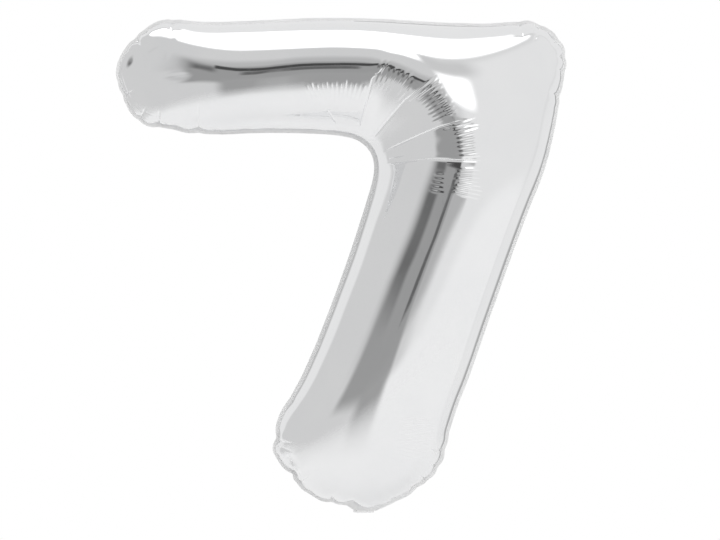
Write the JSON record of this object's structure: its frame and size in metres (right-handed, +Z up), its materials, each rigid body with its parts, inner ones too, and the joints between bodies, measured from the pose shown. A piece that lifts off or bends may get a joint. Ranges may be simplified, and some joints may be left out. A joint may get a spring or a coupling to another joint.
{
  "type": "foil number balloon",
  "caption": "Inflated foil balloon in the shape of the numeral seven, two welded film panels with a film valve in a folding neck.",
  "frame": {"origin": "middle of the fold line where the neck leaves the lower edge, which is where a ribbon is tied", "axes": "+X to the numeral's right seen from the front, +Y to the back, +Z up; the seam lies in the plane Y = 0"},
  "size_m": [0.8008, 0.2714, 0.8597],
  "materials": {
    "silver_foil": "mirror-bright metallised film",
    "weld_layer": "fused film, slightly dull",
    "valve_film": "clear polyethylene film",
    "heatproof_print": "thin matt ink"
  },
  "bodies": {
    "balloon": {"front_foil": "silver_foil", "back_foil": "silver_foil", "edge_weld": "weld_layer", "valve_front_film": "valve_film", "valve_back_film": "valve_film", "valve_edge_welds": "valve_film", "valve_heatproof_print": "heatproof_print"},
    "neck": {"neck_front_foil": "silver_foil", "neck_back_foil": "silver_foil", "neck_edge_welds": "weld_layer", "neck_valve_front_film": "valve_film", "neck_valve_back_film": "valve_film", "neck_valve_edge_welds": "valve_film", "neck_valve_bonds": "weld_layer"}
  },
  "joints": [
    {"name": "neck_fold", "type": "hinge", "parent": "balloon", "child": "neck", "pos_m": [0, 0, 0], "axis": [1, 0, 0], "range_deg": [-220, 0]}
  ]
}
